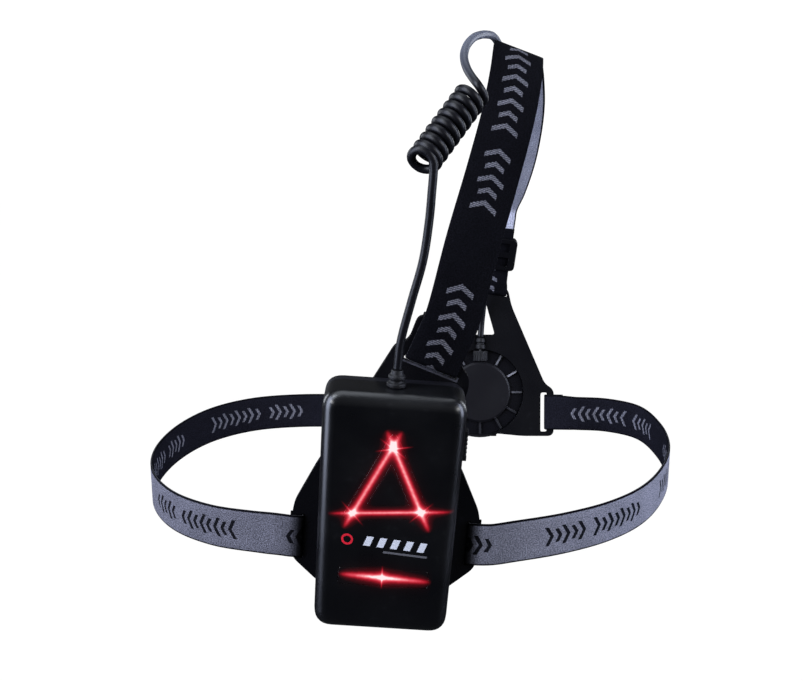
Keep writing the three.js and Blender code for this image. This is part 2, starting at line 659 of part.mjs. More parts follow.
function tube(points, steps) {
  const section = new THREE.Shape();
  const sides = 8;
  for (let i = 0; i < sides; i += 1) {
    const angle = (i / sides) * 2 * Math.PI;
    const [x, y] = [CABLE.radius * Math.cos(angle), CABLE.radius * Math.sin(angle)];
    if (i === 0) section.moveTo(x, y);
    else section.lineTo(x, y);
  }
  section.closePath();
  const path = new THREE.CatmullRomCurve3(points, false, "centripetal");
  return new THREE.ExtrudeGeometry(section, { steps, extrudePath: path, curveSegments: 1 });
}

// ---------------------------------------------------------------- assembly
add(pack, "back_plate", backPlate(), plastic);
add(pack, "pack_back_shell", packBackShell(), plastic);
add(pack, "pack_front_shell", packFrontShell(), satin);
add(pack, "triangle_light_guide", triangleGuide(), redGuide);
add(pack, "bar_light_guide", barGuide(), redGuide);
Object.entries(LED_SPOTS).forEach(([name, spot]) => add(pack, name, warningLed(spot), diode));
add(pack, "led_board", ledBoard(), board);
add(pack, "charge_board", chargeBoard(), board);
add(pack, "battery_cell", batteryCell(), cellWrap);
add(pack, "cell_cradle", cellCradle(), plastic);
add(pack, "usb_socket", usbSocket(), steel);
add(pack, "usb_flap", usbFlap(), rubber);
add(pack, "pack_button", packButton(), rubber);
add(pack, "pack_cable_gland", packGland(), rubber);
SCREWS.forEach(({ x, y }, i) => add(pack, `pack_screw_${i + 1}`, screw(x, y), steel));

add(chest, "chest_plate", chestPlate(), plastic);
add(chest, "lamp_base", lampBase(), satin);
add(chest, "cable_clamp", cableClamp(), satin);
add(chest, "lamp_cable_gland", lampGland(), rubber);
add(chest, "lamp_housing", lampHousing(), satin);
add(chest, "hinge_pin", hingePin(), steel);
add(chest, "lamp_bezel", lampBezel(), plastic);
add(chest, "lamp_lens", lampLens(), glass);
add(chest, "lamp_reflector", lampReflector(), mirror);
add(chest, "lamp_led", lampLed(), diode);
add(chest, "lamp_button", lampButton(), rubber);
add(keeper, "strap_keeper", strapKeeper(), plastic);

add(harness, "chest_strap_left", chestStrap(-1, LEFT_LOOP), webbing);
add(harness, "chest_strap_right", chestStrap(1, RIGHT_LOOP), webbing);
add(harness, "shoulder_strap", shoulderStrap(), blackWebbing);
add(harness, "cable_lower", tube(LOWER_ROUTE, 12), rubber);
add(harness, "cable_coil", rod(CABLE.coil, COIL_FROM, COIL_TO, 20), rubber);
add(harness, "cable_upper", tube(UPPER_ROUTE, 34), rubber);

export default harness;
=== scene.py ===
# Looks for the running-light harness: soft straps, the curly cable, procedural materials and the light.
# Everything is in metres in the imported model's frame: +Z up, +Y from the wearer's back to the chest.
import math

import bmesh
import bpy
from mathutils import Matrix, Vector


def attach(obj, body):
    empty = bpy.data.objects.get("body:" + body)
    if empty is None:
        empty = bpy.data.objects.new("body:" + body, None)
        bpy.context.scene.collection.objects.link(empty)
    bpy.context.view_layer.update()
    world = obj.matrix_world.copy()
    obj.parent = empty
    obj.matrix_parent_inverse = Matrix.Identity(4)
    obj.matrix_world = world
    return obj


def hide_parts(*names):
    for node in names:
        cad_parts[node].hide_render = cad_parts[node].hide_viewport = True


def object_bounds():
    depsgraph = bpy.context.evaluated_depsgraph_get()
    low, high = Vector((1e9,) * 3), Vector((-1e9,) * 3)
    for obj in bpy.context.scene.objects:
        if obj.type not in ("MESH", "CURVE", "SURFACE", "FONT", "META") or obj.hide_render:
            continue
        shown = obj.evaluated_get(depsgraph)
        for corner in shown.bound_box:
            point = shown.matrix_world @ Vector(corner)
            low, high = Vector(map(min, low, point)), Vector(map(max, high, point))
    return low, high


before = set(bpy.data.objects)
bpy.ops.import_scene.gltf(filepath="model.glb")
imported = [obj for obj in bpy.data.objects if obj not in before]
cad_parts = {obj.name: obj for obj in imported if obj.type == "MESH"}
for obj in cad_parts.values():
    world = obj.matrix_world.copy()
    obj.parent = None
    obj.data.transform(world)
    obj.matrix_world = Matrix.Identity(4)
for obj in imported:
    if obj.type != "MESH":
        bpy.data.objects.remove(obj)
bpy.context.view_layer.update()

MM = 0.001
# where the pack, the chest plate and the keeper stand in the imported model, in millimetres
PACK_TURN, CHEST_TURN, KEEPER_TURN = math.radians(4), math.radians(-14), math.radians(7)
PACK = Matrix.Rotation(PACK_TURN, 4, "Y")
CHEST = Matrix.Translation(Vector((56.9, 182, 11.8))) @ Matrix.Rotation(CHEST_TURN, 4, "X")
KEEPER = Matrix.Translation(Vector((62.9, 201, 96.5))) @ Matrix.Rotation(KEEPER_TURN, 4, "Y")

CHEST_WIDTH, SHOULDER_WIDTH = 21.5, 25
# the middle and the tilt in degrees of each slot that the shoulder strap passes, on its own plate
PACK_SLOT, PACK_SLOT_TILT = (15.2, 86.9), -19
CHEST_SLOT, CHEST_SLOT_TILT = (3.6, 61.9), -8


# ---------------------------------------------------------------- camera
def make_camera():
    data = bpy.data.cameras.new("camera")
    data.sensor_width = 36
    data.lens = 53.798
    data.clip_start = 0.01
    data.clip_end = 20
    camera = bpy.data.objects.new("camera", data)
    camera.location = (0.008, -0.525, 0.248)
    camera.rotation_euler = (math.radians(74), 0, 0)
    bpy.context.scene.collection.objects.link(camera)
    bpy.context.scene.camera = camera


make_camera()


# ---------------------------------------------------------------- curves, in millimetres
def catmull_rom(points):
    """A centripetal Catmull-Rom curve through the points: returns position(t) for t from 0 to 1."""
    points = [Vector(p) for p in points]
    last = len(points) - 1

    def position(t):
        place = min(max(t, 0.0), 1.0) * last
        i = min(int(place), last - 1)
        w = place - i
        p1, p2 = points[i], points[i + 1]
        p0 = points[i - 1] if i > 0 else 2 * p1 - p2
        p3 = points[i + 2] if i + 2 <= last else 2 * p2 - p1
        d1 = max((p2 - p1).length ** 0.5, 1e-4)
        d0 = max((p1 - p0).length ** 0.5, 1e-4)
        d2 = max((p3 - p2).length ** 0.5, 1e-4)
        m1 = ((p1 - p0) / d0 - (p2 - p0) / (d0 + d1) + (p2 - p1) / d1) * d1
        m2 = ((p2 - p1) / d1 - (p3 - p1) / (d1 + d2) + (p3 - p2) / d2) * d1
        a = 2 * p1 - 2 * p2 + m1 + m2
        b = -3 * p1 + 3 * p2 - 2 * m1 - m2
        return ((a * w + b) * w + m1) * w + p1

    return position


def evenly(position, count, spacing):
    """Points along a curve at an even spacing."""
    fine = [position(i / count) for i in range(count + 1)]
    points, left = [fine[0]], spacing
    for a, b in zip(fine, fine[1:]):
        step = (b - a).length
        while step >= left and step > 0:
            a = a + (b - a) * (left / step)
            points.append(a)
            step -= left
            left = spacing
        left -= step
    if (points[-1] - fine[-1]).length > 0.3 * spacing:
        points.append(fine[-1])
    return points


def length_of(points):
    return sum((b - a).length for a, b in zip(points, points[1:]))


# ---------------------------------------------------------------- the curly cable
CABLE_RADIUS = 1.9
COIL_RADIUS = 5.7
COIL_TURNS = 9
STEPS_PER_TURN = 16
# the coil starts leaning over by this angle, and stands straight after this many turns
COIL_LEAN, COIL_LEAN_TURNS = math.radians(34), 1.4
COIL_SWELL = 1.07
CABLE_SPACING = 1.1
COIL_FROM = Vector((16.3, -16, 179.8))
COIL_TO = Vector((39.4, 8, 207.4))
LOWER_ROUTE = [
    (6.2, -15, 88.9), (7.6, -15.4, 101), (12.4, -16, 120), (17.3, -16, 138), (19.8, -16.6, 155),
    (20.8, -18, 167),
]
UPPER_ROUTE = [
    (41.3, 3.9, 210.9), (38.9, 8.6, 214), (36.8, 16, 217.5), (35.9, 25, 222), (37.5, 35, 226.4),
    (41.1, 44, 229.7), (45.1, 52, 230.8), (48.8, 61, 230.6), (52, 72, 229.6), (55, 84, 226.8),
    (57.8, 97, 221.8), (57, 114, 209), (55, 136, 187), (54, 160, 155), (55, 178, 118),
    (57, 186, 90), (58.4, 189.6, 70), (57.4, 190.6, 54), (56.9, 189.2, 45.9),
]


def coil_points():
    """The coil's turns round the line from COIL_FROM to COIL_TO."""
    axis = (COIL_TO - COIL_FROM).normalized()
    forward = Vector((0, 0.96, -0.28))
    start = Vector((0.719, -0.697, 0))
    start = (start - axis * start.dot(axis)).normalized()
    quarter = -axis.cross(start)
    lean_axis = axis.cross(forward).normalized()
    points = []
    for i in range(COIL_TURNS * STEPS_PER_TURN + 1):
        turn = i / STEPS_PER_TURN
        angle = 2 * math.pi * turn
        ease = min(turn / COIL_LEAN_TURNS, 1)
        lean = COIL_LEAN * (1 - ease * ease * (3 - 2 * ease))
        arm = start * math.cos(angle) + quarter * math.sin(angle)
        arm = Matrix.Rotation(lean, 3, lean_axis) @ arm
        centre = COIL_FROM.lerp(COIL_TO, turn / COIL_TURNS)
        points.append(centre + arm * COIL_RADIUS)
    return points


def make_cable():
    route = catmull_rom([*map(Vector, LOWER_ROUTE), *coil_points(), *map(Vector, UPPER_ROUTE)])
    points = evenly(route, 6000, CABLE_SPACING)
    data = bpy.data.curves.new("curly_cable", "CURVE")
    data.dimensions = "3D"
    data.bevel_depth = CABLE_RADIUS
    data.bevel_resolution = 5
    data.use_fill_caps = True
    axis = COIL_TO - COIL_FROM
    spline = data.splines.new("POLY")
    spline.points.add(len(points) - 1)
    for target, p in zip(spline.points, points):
        target.co = (*(p * MM), 1)
        along = (p - COIL_FROM).dot(axis) / axis.length_squared
        # the cable's way down to the lamp passes beside the coil again, further forward
        in_coil = 0.02 < along < 0.98 and p.y < 20
        # a point's radius also widens the curve's bound box, so it carries the scale
        target.radius = (COIL_SWELL if in_coil else 1) * MM
    spline.use_smooth = True
    cable = bpy.data.objects.new("curly_cable", data)
    bpy.context.scene.collection.objects.link(cable)
    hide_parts("cable_lower", "cable_coil", "cable_upper")
    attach(cable, "harness")
    length_of(points) * MM
    return cable


cable = make_cable()


# ---------------------------------------------------------------- material nodes
class Paint:
    """A material with short names for the nodes that it uses."""

    def __init__(self, name, color, roughness, **sockets):
        self.material = bpy.data.materials.new(name)
        self.material.use_nodes = True
        self.tree = self.material.node_tree
        self.shader = self.tree.nodes["Principled BSDF"]
        self.set("Base Color", (*color, 1))
        self.set("Roughness", roughness)
        for socket, value in sockets.items():
            self.set(socket.replace("_", " "), value)

    def set(self, socket, value):
        target = self.shader.inputs[socket]
        if isinstance(value, bpy.types.NodeSocket):
            self.tree.links.new(value, target)
        else:
            target.default_value = value

    def node(self, kind, output, inputs=None, **settings):
        node = self.tree.nodes.new("ShaderNode" + kind)
        for key, value in settings.items():
            setattr(node, key, value)
        for key, value in (inputs or {}).items():
            if isinstance(value, bpy.types.NodeSocket):
                self.tree.links.new(value, node.inputs[key])
            else:
                node.inputs[key].default_value = value
        return node.outputs[output]

    def now(self, socket):
        """What is linked to one of the shader's sockets now."""
        return self.shader.inputs[socket].links[0].from_socket

    def math(self, operation, a, b=0.0):
        return self.node("Math", 0, {0: a, 1: b}, operation=operation)

    def between(self, value, low, high):
        return self.math("MULTIPLY", self.math("GREATER_THAN", value, low),
                         self.math("LESS_THAN", value, high))

    def distance(self, a, b):
        """The length of a flat vector from its two parts."""
        squares = self.math("ADD", self.math("MULTIPLY", a, a), self.math("MULTIPLY", b, b))
        return self.math("SQRT", squares)

    def vector(self, operation, a, b=(0, 0, 0)):
        output = 1 if operation in ("DOT_PRODUCT", "LENGTH") else 0
        return self.node("VectorMath", output, {0: a, 1: b}, operation=operation)

    def place(self):
        return self.node("TexCoord", "Object")

    def axes(self, vector):
        """The X, Y and Z of a vector."""
        node = self.tree.nodes.new("ShaderNodeSeparateXYZ")
        self.tree.links.new(vector, node.inputs[0])
        return node.outputs["X"], node.outputs["Y"], node.outputs["Z"]

    def attribute(self, name):
        return self.node("Attribute", "Fac", attribute_name=name)

    def noise(self, scale, detail=3.0, vector=None):
        return self.node("TexNoise", 0, {
            "Vector": vector or self.place(), "Scale": scale, "Detail": detail})

    def remap(self, value, low, high, to_low, to_high):
        return self.node("MapRange", 0, {0: value, 1: low, 2: high, 3: to_low, 4: to_high})

    def mix(self, factor, a, b):
        """Mixes two colours, each a colour or a socket."""
        values = {0: factor, 6: a if isinstance(a, bpy.types.NodeSocket) else (*a, 1),
                  7: b if isinstance(b, bpy.types.NodeSocket) else (*b, 1)}
        return self.node("Mix", 2, values, data_type="RGBA")

    def bump(self, height, distance, strength=1.0):
        self.set("Normal", self.node("Bump", 0, {
            "Height": height, "Distance": distance, "Strength": strength}))


def moulded_plastic(name, color, roughness, grain, **sockets):
    """Moulded plastic: a fine spark-eroded grain, uneven gloss and slightly lighter scuffs."""
    paint = Paint(name, color, roughness, **sockets)
    fine = paint.noise(2600, 2)
    cloud = paint.noise(42, 4)
    scuff = paint.math("MULTIPLY", paint.remap(paint.noise(320, 6), 0.58, 0.72, 0, 1),
                       paint.remap(cloud, 0.5, 0.7, 0, 0.5))
    lighter = tuple(min(1, 1.9 * c + 0.002) for c in color)
    paint.set("Base Color", paint.mix(scuff, color, lighter))
    paint.set("Roughness", paint.math("ADD", paint.remap(cloud, 0.3, 0.7, roughness - 0.05, roughness + 0.05),
                                      paint.math("MULTIPLY", scuff, 0.12)))
    paint.bump(fine, grain * MM, 0.35)
    return paint


def total_of(paint, values):
    total = values[0]
    for value in values[1:]:
        total = paint.math("ADD", total, value)
    return total


def pack_place(paint):
    """The place in millimetres on the pack's own axes, which are turned about Y."""
    place = paint.node("VectorRotate", 0, {
        "Vector": paint.place(), "Angle": -PACK_TURN}, rotation_type="Y_AXIS")
    return paint.vector("MULTIPLY", place, (1000, 0, 1000))


def printed_mark(paint, place):
    """Factors of a plain printed mark: a row of slanted bars, a thin rule below it, and a red ring."""
    x, _, z = paint.axes(place)
    z = paint.math("ADD", z, paint.math("MULTIPLY", x, 0.07))
    slant = paint.math("SUBTRACT", x, paint.math("MULTIPLY", z, 0.35))
    step = paint.math("DIVIDE", paint.math("ADD", slant, 13), 6.1)
    bar = paint.math("LESS_THAN", paint.math("FRACT", step), 0.5)
    row = paint.math("MULTIPLY", paint.between(z, 8.3, 13), paint.between(step, 0, 5))
    row = paint.math("MULTIPLY", row, bar)
    rule = paint.math("MULTIPLY", paint.between(z, 5.7, 6.7), paint.between(slant, -3, 17))
    from_ring = paint.distance(paint.math("ADD", x, 17.4), paint.math("SUBTRACT", z, 10.4))
    ring = paint.between(from_ring, 1.7, 2.7)
    return row, rule, ring


# across and up on the pack, in millimetres
LED_LEFT, LED_RIGHT, LED_APEX, LED_BAR = (-15.7, 24.4), (14.8, 26.8), (0.4, 57.6), (-0.5, -6.4)


def past(start, end, before, after):
    """The line from start to end, made longer at both ends."""
    a, b = Vector(start), Vector(end)
    along = (b - a).normalized()
    return tuple(a - along * before), tuple(b + along * after)


# each beam: its two ends, its half width, its strength and how late along it the light fades; the beams run
# on past the windows, and the last five are thin flare spikes, all painted glow on the face
BEAMS = [
    (*past(LED_LEFT, LED_RIGHT, 12, 16), 1.0, 0.78, 2.5),
    (*past(LED_LEFT, LED_APEX, 9, 8.5), 1.35, 0.76, 5),
    (*past(LED_RIGHT, LED_APEX, 11, 8.5), 1.35, 0.79, 5),
    ((-21, -5.8), (22.5, -7.4), 1.5, 0.66, 4),
    ((-13, -6.1), (12, -6.9), 1.5, 0.45, 1.5),
    ((-0.4, -12.4), (-0.6, -0.4), 0.32, 0.6, 1.2),
    ((-8, 54.5), (10, 58), 0.32, 0.5, 1.2),
    ((7, 51.5), (-6, 61), 0.32, 0.42, 1.2),
    ((-21.5, 30.5), (-10, 18), 0.32, 0.35, 1.2),
    ((20.5, 32), (9.5, 21), 0.32, 0.35, 1.2),
]
# each flare, a painted glow round an LED: its middle, its radius and its strength
FLARES = [
    (LED_APEX, 3.6, 0.62), (LED_LEFT, 3.4, 0.45), (LED_RIGHT, 3.4, 0.48), (LED_BAR, 3.2, 0.4),
]


def lit_case(name):
    """The pack's face: dark plastic with a printed mark and red light beams through its windows, with painted
    glow and flares spilling onto the face around them.
    """
    paint = moulded_plastic(name, (0.0011, 0.0012, 0.0018), 0.31, 0.015, Specular_IOR_Level=0.55)
    place = pack_place(paint)
    row, rule, ring = printed_mark(paint, place)
    color = paint.now("Base Color")
    color = paint.mix(row, color, (0.52, 0.54, 0.6))
    color = paint.mix(rule, color, (0.09, 0.09, 0.1))
    paint.set("Base Color", paint.mix(ring, color, (0.55, 0.015, 0.03)))

    def needle(start, end, width, strength, taper):
        """Light along a line, with a narrow core and a wide halo of painted glow, that is gone at the line's
        ends.
        """
        a, b = Vector((start[0], 0, start[1])), Vector((end[0], 0, end[1]))
        along = (b - a).normalized()
        across = Vector((-along.z, 0, along.x))
        away = paint.vector("SUBTRACT", place, tuple((a + b) / 2))
        t = paint.math("ABSOLUTE", paint.vector("DOT_PRODUCT", away, tuple(along / ((b - a).length / 2))))
        fade = paint.math("MAXIMUM", paint.math("SUBTRACT", 1, paint.math("POWER", t, taper)), 0)
        q = paint.vector("DOT_PRODUCT", away, tuple(across / width))
        q = paint.math("MULTIPLY", q, q)
        core = paint.math("DIVIDE", 0.78, paint.math("POWER", paint.math("ADD", 1, q), 2))
        halo = paint.math("DIVIDE", 0.22, paint.math("POWER", paint.math(
            "ADD", 1, paint.math("MULTIPLY", q, 0.12)), 2))
        return paint.math("MULTIPLY", paint.math("MULTIPLY", strength, fade), paint.math("ADD", core, halo))

    def flare(spot, size, strength):
        away = paint.vector("LENGTH", paint.vector("SUBTRACT", place, (spot[0], 0, spot[1])))
        q = paint.math("DIVIDE", away, size)
        spread = paint.math("POWER", paint.math("ADD", 1, paint.math("MULTIPLY", q, q)), 3)
        return paint.math("DIVIDE", strength, spread)

    light = total_of(paint, [needle(*beam) for beam in BEAMS] + [flare(*spot) for spot in FLARES])
    grain = paint.remap(paint.noise(900, 2), 0.3, 0.7, 0.93, 1.07)
    ramp = paint.tree.nodes.new("ShaderNodeValToRGB")
    paint.tree.links.new(paint.math("MULTIPLY", light, grain), ramp.inputs[0])
    stops = [
        (0.0, (0, 0, 0)), (0.04, (0.003, 0, 0)), (0.14, (0.07, 0.001, 0.003)), (0.32, (0.42, 0.008, 0.02)),
        (0.55, (0.78, 0.065, 0.1)), (0.8, (1, 0.31, 0.34)), (1.0, (1, 0.84, 0.86)),
    ]
    while len(ramp.color_ramp.elements) < len(stops):
        ramp.color_ramp.elements.new(0.5)
    for element, (at, color) in zip(ramp.color_ramp.elements, stops):
        element.position = at
        element.color = (*color, 1)
    paint.set("Emission Color", ramp.outputs[0])
    paint.set("Emission Strength", 1.0)
    return paint.material


# the lamp's ribbed channel, as radii from the middle of the disc
CHANNEL_FROM, RIBS_FROM, CHANNEL_TO = 18.9, 19.6, 26.6
CHANNEL_DEPTH = 3.2
RIB_STEP = math.pi / 6
HALF_RIB = 0.55


def lamp_back(name):
    """The lamp's base: a matte disc and a dark glossy channel whose ribs carry a painted highlight."""
    paint = moulded_plastic(name, (0.0036, 0.0034, 0.0048), 0.45, 0.015)
    matte = paint.now("Base Color")
    gloss = paint.now("Roughness")
    place = paint.vector("MULTIPLY", paint.place(), (1000, 1000, 1000))
    place = paint.vector("SUBTRACT", place, tuple(CHEST.translation))
    place = paint.node("VectorRotate", 0, {"Vector": place, "Angle": -CHEST_TURN}, rotation_type="X_AXIS")
    x, y, z = paint.axes(place)
    radius = paint.distance(x, z)
    angle = paint.math("DIVIDE", paint.math("ARCTAN2", z, x), RIB_STEP)
    near = paint.math("ABSOLUTE", paint.math("SUBTRACT", angle, paint.math("ROUND", angle)))
    rib = paint.math("LESS_THAN", paint.math("MULTIPLY", near, radius), HALF_RIB / RIB_STEP)
    channel = paint.math("MULTIPLY", paint.between(radius, CHANNEL_FROM, CHANNEL_TO),
                         paint.math("LESS_THAN", y, CHANNEL_DEPTH))
    rib = paint.math("MULTIPLY", rib, channel)
    rib = paint.math("MULTIPLY", rib, paint.math("GREATER_THAN", radius, RIBS_FROM))
    # painted highlight: the ribs' tops are painted pale, in patches, and brighter towards the top of the ring
    rib_highlight = paint.remap(paint.noise(70, 2), 0.35, 0.6, 0.25, 1)
    color = paint.mix(channel, matte, (0.0035, 0.0035, 0.0048))
    rib_highlight = paint.math("MULTIPLY", rib_highlight, paint.remap(z, -5, 2, 0.08, 1))
    paint.set("Base Color", paint.mix(paint.math("MULTIPLY", rib, rib_highlight), color, (0.16, 0.16, 0.175)))
    paint.set("Roughness", paint.math("SUBTRACT", gloss, paint.math("MULTIPLY", channel, 0.2)))
    paint.set("Specular IOR Level", 0.2)
    return paint.material


RIB_PITCH, WALE_PITCH = 0.9, 0.8


def webbing(name, ground, thread, run, across_half, painted_shade_to):
    """Jacquard elastic: a speckled rib weave, thin dark selvedges and two runs of chevrons in each repeat.

    run holds the length of one chevron, the chevrons in a repeat, where a repeat starts, and the
    two runs as their first chevron and the one after their last. The last argument is where, along the
    strap from its end at the pack, the painted shade that darkens that end fades out.
    """
    paint = Paint(name, ground, 0.9, Specular_IOR_Level=0.03)
    along = paint.math("MULTIPLY", paint.attribute("along"), 1000)
    across = paint.math("MULTIPLY", paint.attribute("across"), 1000)
    turn = 2 * math.pi
    rib = paint.math("SINE", paint.math("MULTIPLY", along, turn / RIB_PITCH))
    wale = paint.math("SINE", paint.math("MULTIPLY", across, turn / WALE_PITCH))
    cross = paint.math("MULTIPLY", rib, wale)
    place = paint.node("CombineXYZ", 0, {0: along, 1: across, 2: 0.0})
    speck = paint.noise(1.5, 3, place)
    patch = paint.noise(0.35, 3, place)
    cloud = paint.noise(0.07, 2, place)
    relief = paint.math("ADD", paint.math("MULTIPLY", cross, 0.3), paint.math("MULTIPLY", rib, 0.15))
    relief = paint.math("ADD", relief, speck)

    pitch, repeat, start, runs, tall = run
    side = paint.math("ABSOLUTE", across)
    bent = paint.math("ADD", along, paint.math("MULTIPLY", side, 0.55))
    bent = paint.math("ADD", bent, paint.math("MULTIPLY", cross, 0.15))
    cell = paint.math("DIVIDE", paint.math("SUBTRACT", bent, start - 2 * pitch * repeat), pitch)
    share = paint.math("MULTIPLY", paint.math("FRACT", paint.math("DIVIDE", cell, repeat)), repeat)
    figured = 0.0
    for first, after in runs:
        figured = paint.math("ADD", figured, paint.between(share, first, after))
    # a pale thread makes a thinner stroke, and the ribs comb it into lines
    half_stroke, comb = (0.19, 0.42) if thread[0] > ground[0] else (0.23, 0.03)
    off_middle = paint.math("ABSOLUTE", paint.math("SUBTRACT", paint.math("FRACT", cell), 0.5))
    stroke = paint.math("LESS_THAN", off_middle, half_stroke)
    # every second chevron is taller
    parity = paint.math("FRACT", paint.math("MULTIPLY", paint.math("FLOOR", cell), 0.5))
    taller = paint.math("LESS_THAN", parity, 0.25)
    height = paint.math("ADD", 0.72 * tall, paint.math("MULTIPLY", taller, 0.28 * tall))
    motif = paint.math("MULTIPLY", stroke, paint.math("LESS_THAN", side, height))
    motif = paint.math("MULTIPLY", motif, figured)
    motif = paint.math("MULTIPLY", motif, paint.remap(rib, -1, 1, 1 - 2 * comb, 1))

    edge = paint.remap(side, across_half - 1.0, across_half - 0.7, 0, 1)
    base = paint.mix(edge, paint.mix(motif, ground, thread), DARK)
    light = paint.remap(speck, 0.36, 0.64, 0.5, 1.5)
    light = paint.math("MULTIPLY", light, paint.remap(patch, 0.3, 0.7, 0.93, 1.07))
    light = paint.math("MULTIPLY", light, paint.remap(cloud, 0.3, 0.7, 0.9, 1.1))
    # painted shade: the strap darkens to almost black towards its end at the pack
    light = paint.math("MULTIPLY", light, paint.remap(along, painted_shade_to - 5, painted_shade_to, 0.04, 1))
    base = paint.node("VectorMath", 0, {0: base, "Scale": light}, operation="SCALE")
    paint.set("Base Color", base)
    paint.bump(relief, 0.1 * MM, 0.6)
    return paint.material


def simple(name, color, roughness, grain=None, **sockets):
    """A plain surface with fine grain and slightly uneven gloss."""
    paint = Paint(name, color, roughness, **sockets)
    cloud = paint.noise(60, 3)
    paint.set("Roughness", paint.remap(cloud, 0.3, 0.7, roughness * 0.85, min(1, roughness * 1.15)))
    if grain:
        paint.bump(paint.noise(1800, 2), grain * MM, 0.3)
    return paint.material


# the cable's black, and the pale colour of its painted highlight, which comes in between two heights in
# metres
CABLE_BLACK, CABLE_HIGHLIGHT = (0.0028, 0.0028, 0.004), (0.09, 0.096, 0.118)
HIGHLIGHT_FROM, HIGHLIGHT_TO = 0.213, 0.231


def cable_jacket(name):
    """The cable's smooth jacket, with a painted highlight that pales it where it stands up over the shoulder.
    """
    paint = Paint(name, CABLE_BLACK, 0.38, Specular_IOR_Level=0.2)
    # painted highlight: the jacket turns pale grey-blue towards the top of the loop
    _, _, height = paint.axes(paint.place())
    painted_highlight = paint.remap(height, HIGHLIGHT_FROM, HIGHLIGHT_TO, 0, 1)
    uneven = paint.remap(paint.noise(90, 2), 0.3, 0.7, 0.85, 1.1)
    paint.set("Base Color", paint.mix(paint.math("MULTIPLY", painted_highlight, uneven), CABLE_BLACK, CABLE_HIGHLIGHT))
    paint.bump(paint.noise(1800, 2), 0.002 * MM, 0.3)
    return paint.material


BLACK_MOULDING = {"color": (0.0025, 0.0025, 0.0034), "roughness": 0.27, "grain": 0.012,
                  "Specular_IOR_Level": 0.3}


def back_bracket(name):
    """The back plate's plastic, with a painted highlight along the lower rim of the shoulder strap's slot."""
    paint = moulded_plastic(name, **BLACK_MOULDING)
    plain = paint.now("Base Color")
    tilt = math.radians(PACK_SLOT_TILT)
    away = paint.vector("SUBTRACT", pack_place(paint), (PACK_SLOT[0], 0, PACK_SLOT[1]))
    along = paint.vector("DOT_PRODUCT", away, (math.cos(tilt), 0, math.sin(tilt)))
    rise = paint.vector("DOT_PRODUCT", away, (-math.sin(tilt), 0, math.cos(tilt)))
    # painted highlight: a pale, patchy line along the slot's lower rim on the plate's outer face, hooked up
    # at the slot's end
    rim_highlight = paint.math("MULTIPLY", paint.between(along, -13.4, 13.4), paint.between(rise, -2.15, -1.25))
    end = paint.math("MULTIPLY", paint.between(along, 13.05, 13.95), paint.between(rise, -2.1, 0.3))
    rim_highlight = paint.math("MULTIPLY", paint.math("MAXIMUM", rim_highlight, end),
                     paint.remap(paint.noise(120, 2), 0.3, 0.6, 0.4, 1))
    _, depth, _ = paint.axes(paint.place())
    rim_highlight = paint.math("MULTIPLY", rim_highlight, paint.math("LESS_THAN", depth, -1.5 * MM))
    paint.set("Base Color", paint.mix(rim_highlight, plain, (0.05, 0.05, 0.062)))
    return paint.material


# how far from each strap's end at the pack it is darkened with painted shade
CHEST_SHADE, SHOULDER_SHADE = 17, 5
GREY, DARK = (0.158, 0.16, 0.194), (0.0026, 0.0026, 0.0038)
# the left chest strap's grey face: a darker copy of GREY, as painted shade
LEFT_SHADED_GREY = (0.093, 0.092, 0.11)
MOTIF_GREY = (0.2, 0.2, 0.235)
SHOULDER_MOTIF = (0.135, 0.135, 0.158)
FAR_BLACK = (0.0075, 0.0075, 0.0112)
PALE_GREY = (0.33, 0.335, 0.4)
LEFT_RUN = (4.416, 20, 45.6, ((0, 8), (9, 14)), 4.9)
RIGHT_RUN = (4.416, 20, 49.9, ((0, 5), (6, 14)), 4.9)
SHOULDER_RUN = (6.6, 19, 102, ((0, 5), (6, 14)), 6.2)

